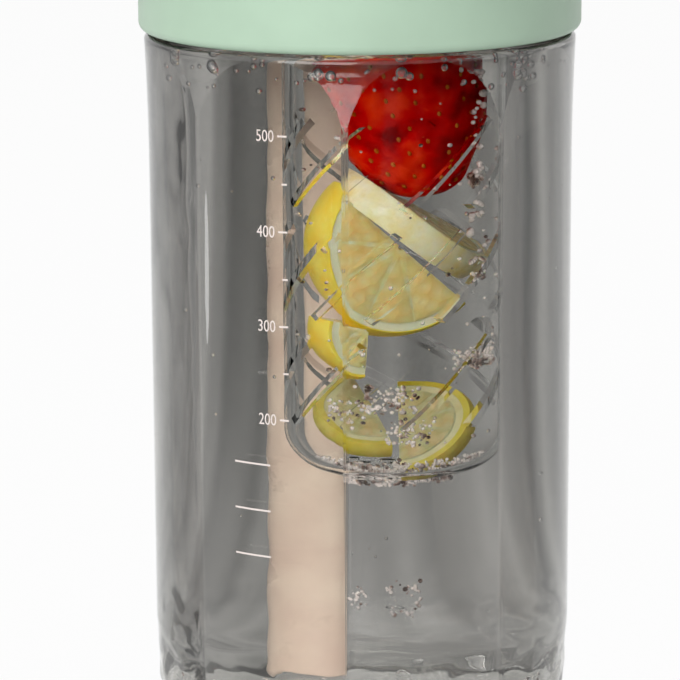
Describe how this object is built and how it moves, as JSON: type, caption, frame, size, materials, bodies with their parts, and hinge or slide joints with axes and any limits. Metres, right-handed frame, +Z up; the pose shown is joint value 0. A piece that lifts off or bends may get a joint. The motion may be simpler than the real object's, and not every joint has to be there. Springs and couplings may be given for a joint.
{
  "type": "tea infuser bottle",
  "caption": "Clear bottle with an octagonal inside, a screw lid with flip cover, mouthpiece and carry loop, a thick straw and an infuser hung off centre.",
  "frame": {"origin": "centre of the flat base the bottle stands on", "axes": "+Z up along the bottle's axis, -Y towards the camera; the lid's own symmetry plane stands 25 degrees round from the YZ plane, infuser side towards the camera"},
  "size_m": [0.0894, 0.0894, 0.1868],
  "materials": {
    "clear_plastic": "polished clear",
    "infuser_plastic": "polished clear",
    "mint_plastic": "satin",
    "white_plastic": "satin",
    "straw_plastic": "satin",
    "silicone": "matte",
    "pin_steel": "polished"
  },
  "bodies": {
    "bottle": {"bottle_body": "clear_plastic"},
    "gasket": {"lid_gasket": "silicone"},
    "lid": {"lid_shell": "mint_plastic", "lid_liner": "white_plastic", "straw": "straw_plastic", "straw_grommet": "silicone", "mouthpiece": "silicone", "mouthpiece_ring": "mint_plastic", "vent_valve": "silicone", "cover_hinge_pin": "pin_steel", "latch_spring": "pin_steel", "handle_pin_left": "pin_steel", "handle_pin_right": "pin_steel"},
    "cover": {"flip_cover": "mint_plastic", "cover_plug": "silicone"},
    "button": {"latch_button": "white_plastic"},
    "handle": {"carry_handle": "mint_plastic"},
    "seal": {"infuser_seal": "silicone"},
    "infuser": {"infuser_basket": "infuser_plastic", "infuser_collar": "white_plastic"}
  },
  "joints": [
    {"name": "lid_lift", "type": "slide", "parent": "bottle", "child": "gasket", "axis": [0, 0, 1], "range_m": [0, 0.165]},
    {"name": "lid_turn", "type": "hinge", "parent": "gasket", "child": "lid", "pos_m": [0, 0, 0.144], "axis": [0, 0, 1], "range_deg": [0, 450]},
    {"name": "cover_flip", "type": "hinge", "parent": "lid", "child": "cover", "pos_m": [0.00338, -0.00725, 0.1775], "axis": [0.9063, 0.4226, 0], "range_deg": [0, 130]},
    {"name": "button_press", "type": "slide", "parent": "lid", "child": "button", "axis": [0, 0, -1], "range_m": [0, 0.0014], "stiffness_N_per_m": 500, "springref_m": -0.001, "deforming": ["latch_spring"]},
    {"name": "handle_swing", "type": "hinge", "parent": "lid", "child": "handle", "pos_m": [0, 0, 0.1749], "axis": [-0.9063, -0.4226, 0], "range_deg": [0, 110]},
    {"name": "infuser_drop", "type": "slide", "parent": "lid", "child": "seal", "axis": [0, 0, -1], "range_m": [0, 0.04]},
    {"name": "infuser_turn", "type": "hinge", "parent": "seal", "child": "infuser", "pos_m": [0.00558, -0.01196, 0.157], "axis": [0, 0, -1], "range_deg": [0, 270]}
  ]
}
